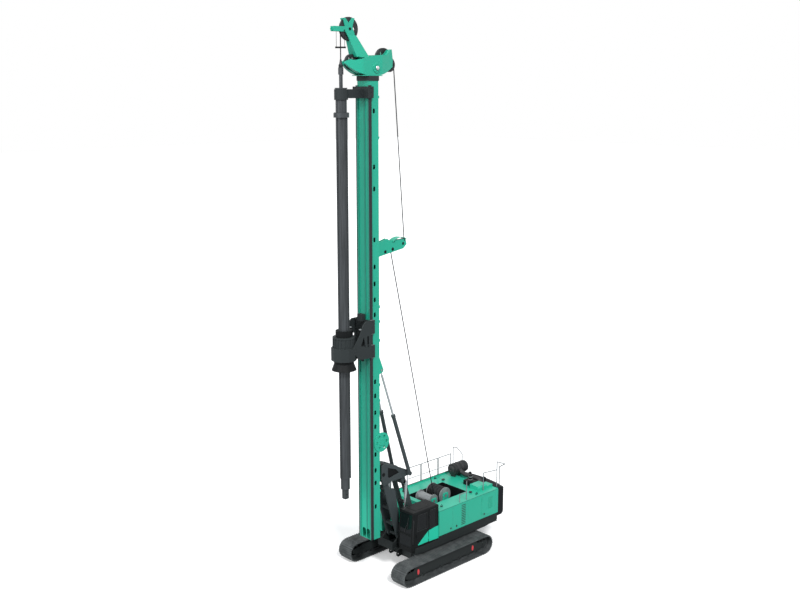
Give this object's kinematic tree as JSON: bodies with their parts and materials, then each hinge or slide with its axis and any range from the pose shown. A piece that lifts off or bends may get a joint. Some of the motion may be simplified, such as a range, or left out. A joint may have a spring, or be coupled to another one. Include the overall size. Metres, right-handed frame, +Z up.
{
  "type": "rotary piling rig",
  "caption": "Crawler-mounted rotary piling rig with a tall mast on a parallel linkage, a telescopic drill bar and a rotary drive that slides on the mast.",
  "frame": {"origin": "on the slew axis, at the height of the ground under the tracks", "axes": "+X towards the mast and drilling axis, +Y towards the cab side, +Z up"},
  "size_m": [9.035, 4.16, 23],
  "materials": {
    "green_paint": "gloss",
    "dark_paint": "satin",
    "black_paint": "satin",
    "track_steel": "satin",
    "weight_paint": "satin",
    "chrome_rod": "polished",
    "kelly_steel": "satin",
    "drum_steel": "satin",
    "glass": "polished",
    "seat_cloth": "matte",
    "rail_paint": "gloss",
    "black_plastic": "matte"
  },
  "bodies": {
    "undercarriage": {"centre_frame": "dark_paint", "slew_ring": "kelly_steel"},
    "track_unit_left": {"track_left": "track_steel", "track_wheels_left": "track_steel", "track_frame_left": "dark_paint"},
    "track_unit_right": {"track_right": "track_steel", "track_wheels_right": "track_steel", "track_frame_right": "dark_paint"},
    "upper": {"upper_frame": "dark_paint", "machine_house": "green_paint", "engine_block": "black_paint", "counterweight": "weight_paint", "cab_shell": "black_paint", "cab_glass": "glass", "cab_seat": "seat_cloth", "side_tank": "green_paint", "winch_frame": "green_paint", "air_cleaner": "black_plastic", "exhaust": "black_paint", "guard_rails": "rail_paint"},
    "door_cab": {"cab_door": "black_paint", "door_glass": "glass"},
    "door_service_left": {"service_door_left": "green_paint"},
    "door_service_right": {"service_door_right": "green_paint"},
    "main_winch": {"main_winch_drum": "drum_steel"},
    "aux_winch": {"aux_winch_drum": "drum_steel"},
    "boom": {"boom_arm": "dark_paint"},
    "rear_arm": {"rear_link": "dark_paint"},
    "lift_barrels": {"lift_cylinders": "dark_paint"},
    "lift_pistons": {"lift_rods": "chrome_rod"},
    "support": {"mast_support": "dark_paint"},
    "stay_tube_left": {"backstay_tube_left": "dark_paint"},
    "stay_tube_right": {"backstay_tube_right": "dark_paint"},
    "stay_rod_left": {"backstay_rod_left": "chrome_rod"},
    "stay_rod_right": {"backstay_rod_right": "chrome_rod"},
    "mast_body": {"mast": "green_paint", "mast_rails": "dark_paint", "mast_pivot_block": "black_paint", "mast_head": "green_paint", "crowd_winch_cheeks": "green_paint"},
    "crowd_winch": {"crowd_winch_drum": "drum_steel"},
    "sheave_jib": {"jib_sheave": "drum_steel"},
    "sheave_front": {"head_sheave_front": "drum_steel"},
    "sheave_rear": {"head_sheave_rear": "drum_steel"},
    "sheave_upper": {"head_sheave_upper": "drum_steel"},
    "sheave_bracket": {"bracket_sheave": "drum_steel"},
    "carriage_body": {"carriage": "dark_paint", "drive_motors": "black_paint"},
    "drive": {"drive_sleeve": "black_paint"},
    "guide": {"kelly_guide": "dark_paint"},
    "kelly_tube": {"kelly_outer": "kelly_steel"},
    "kelly_bar": {"kelly_inner": "kelly_steel"}
  },
  "joints": [
    {"name": "track_slide_left", "type": "slide", "parent": "undercarriage", "child": "track_unit_left", "axis": [0, -1, 0], "range_m": [0, 0.42]},
    {"name": "track_slide_right", "type": "slide", "parent": "undercarriage", "child": "track_unit_right", "axis": [0, 1, 0], "range_m": [0, 0.42]},
    {"name": "slew", "type": "hinge", "parent": "undercarriage", "child": "upper", "pos_m": [0, 0, 0.96], "axis": [0, 0, 1], "continuous": true},
    {"name": "cab_door_hinge", "type": "hinge", "parent": "upper", "child": "door_cab", "pos_m": [0.7, 1.468, 2], "axis": [0, 0, 1], "range_deg": [0, 165]},
    {"name": "service_door_left_hinge", "type": "hinge", "parent": "upper", "child": "door_service_left", "pos_m": [-2.64, 1.518, 2], "axis": [0, 0, -1], "range_deg": [0, 100]},
    {"name": "service_door_right_hinge", "type": "hinge", "parent": "upper", "child": "door_service_right", "pos_m": [-2.64, -1.518, 2], "axis": [0, 0, 1], "range_deg": [0, 100]},
    {"name": "main_winch_spin", "type": "hinge", "parent": "upper", "child": "main_winch", "pos_m": [-1.37, 0, 2.56], "axis": [0, 1, 0], "continuous": true},
    {"name": "aux_winch_spin", "type": "hinge", "parent": "upper", "child": "aux_winch", "pos_m": [-0.64, 0, 2.5], "axis": [0, 1, 0], "continuous": true},
    {"name": "boom_lift", "type": "hinge", "parent": "upper", "child": "boom", "pos_m": [1.35, 0, 1.45], "axis": [0, 1, 0], "range_deg": [-10, 12]},
    {"name": "rear_link_swing", "type": "hinge", "parent": "upper", "child": "rear_arm", "pos_m": [0.37, 0, 1.53], "axis": [0, 1, 0], "range_deg": [-10, 12]},
    {"name": "lift_barrel_swing", "type": "hinge", "parent": "upper", "child": "lift_barrels", "pos_m": [1.23, 0, 1.35], "axis": [0, 1, 0], "range_deg": [-9.2, 11.04]},
    {"name": "lift_rod_stroke", "type": "slide", "parent": "lift_barrels", "child": "lift_pistons", "axis": [-0.0457, 0, 0.999], "range_m": [-0.1781, 0.1484]},
    {"name": "support_level", "type": "hinge", "parent": "boom", "child": "support", "pos_m": [2.18, 0, 4.12], "axis": [0, 1, 0], "range_deg": [-12, 10]},
    {"name": "mast_tilt", "type": "hinge", "parent": "support", "child": "mast_body", "pos_m": [2.33, 0, 4.5], "axis": [0, 1, 0], "range_deg": [-15, 5]},
    {"name": "stay_swing_left", "type": "hinge", "parent": "support", "child": "stay_tube_left", "pos_m": [0.95, 0.53, 4.25], "axis": [0, 1, 0], "range_deg": [-13.38, 4.46]},
    {"name": "stay_swing_right", "type": "hinge", "parent": "support", "child": "stay_tube_right", "pos_m": [0.95, -0.53, 4.25], "axis": [0, 1, 0], "range_deg": [-13.38, 4.46]},
    {"name": "stay_stroke_left", "type": "slide", "parent": "stay_tube_left", "child": "stay_rod_left", "axis": [0.2825, -0.0551, 0.9577], "range_m": [-0.338, 0.1127]},
    {"name": "stay_stroke_right", "type": "slide", "parent": "stay_tube_right", "child": "stay_rod_right", "axis": [0.2825, 0.0551, 0.9577], "range_m": [-0.338, 0.1127]},
    {"name": "crowd_winch_spin", "type": "hinge", "parent": "mast_body", "child": "crowd_winch", "pos_m": [2.4, 0, 5.95], "axis": [0, 1, 0], "continuous": true},
    {"name": "jib_sheave_spin", "type": "hinge", "parent": "mast_body", "child": "sheave_jib", "pos_m": [3.69, 0, 22.56], "axis": [0, 1, 0], "continuous": true},
    {"name": "front_sheave_spin", "type": "hinge", "parent": "mast_body", "child": "sheave_front", "pos_m": [3.6, 0, 21.34], "axis": [0, 1, 0], "continuous": true},
    {"name": "rear_sheave_spin", "type": "hinge", "parent": "mast_body", "child": "sheave_rear", "pos_m": [1.655, 0.06, 21.27], "axis": [0, 1, 0], "continuous": true},
    {"name": "upper_sheave_spin", "type": "hinge", "parent": "mast_body", "child": "sheave_upper", "pos_m": [1.87, -0.06, 21.49], "axis": [0, 1, 0], "continuous": true},
    {"name": "bracket_sheave_spin", "type": "hinge", "parent": "mast_body", "child": "sheave_bracket", "pos_m": [0.91, 0, 14.11], "axis": [0, 1, 0], "continuous": true},
    {"name": "carriage_crowd", "type": "slide", "parent": "mast_body", "child": "carriage_body", "axis": [0, 0, 1], "range_m": [-4.3, 7.5]},
    {"name": "drive_spin", "type": "hinge", "parent": "carriage_body", "child": "drive", "pos_m": [4.09, 0, 10], "axis": [0, 0, 1], "continuous": true},
    {"name": "kelly_hoist", "type": "slide", "parent": "mast_body", "child": "guide", "axis": [0, 0, 1], "range_m": [-8.2, 0.15]},
    {"name": "kelly_spin", "type": "hinge", "parent": "guide", "child": "kelly_tube", "pos_m": [4.09, 0, 10], "axis": [0, 0, 1], "continuous": true},
    {"name": "kelly_extend", "type": "slide", "parent": "kelly_tube", "child": "kelly_bar", "axis": [0, 0, 1], "range_m": [-9, 0]}
  ],
  "couplings": [
    {"joint": "rear_link_swing", "follows": "boom_lift", "ratio": 1},
    {"joint": "support_level", "follows": "boom_lift", "ratio": -1},
    {"joint": "lift_barrel_swing", "follows": "boom_lift", "ratio": 0.92},
    {"joint": "lift_rod_stroke", "follows": "boom_lift", "m_per_rad": -0.85},
    {"joint": "stay_swing_left", "follows": "mast_tilt", "ratio": 0.892},
    {"joint": "stay_swing_right", "follows": "mast_tilt", "ratio": 0.892},
    {"joint": "stay_stroke_left", "follows": "mast_tilt", "m_per_rad": 1.291},
    {"joint": "stay_stroke_right", "follows": "mast_tilt", "m_per_rad": 1.291},
    {"joint": "kelly_spin", "follows": "drive_spin", "ratio": 1}
  ]
}
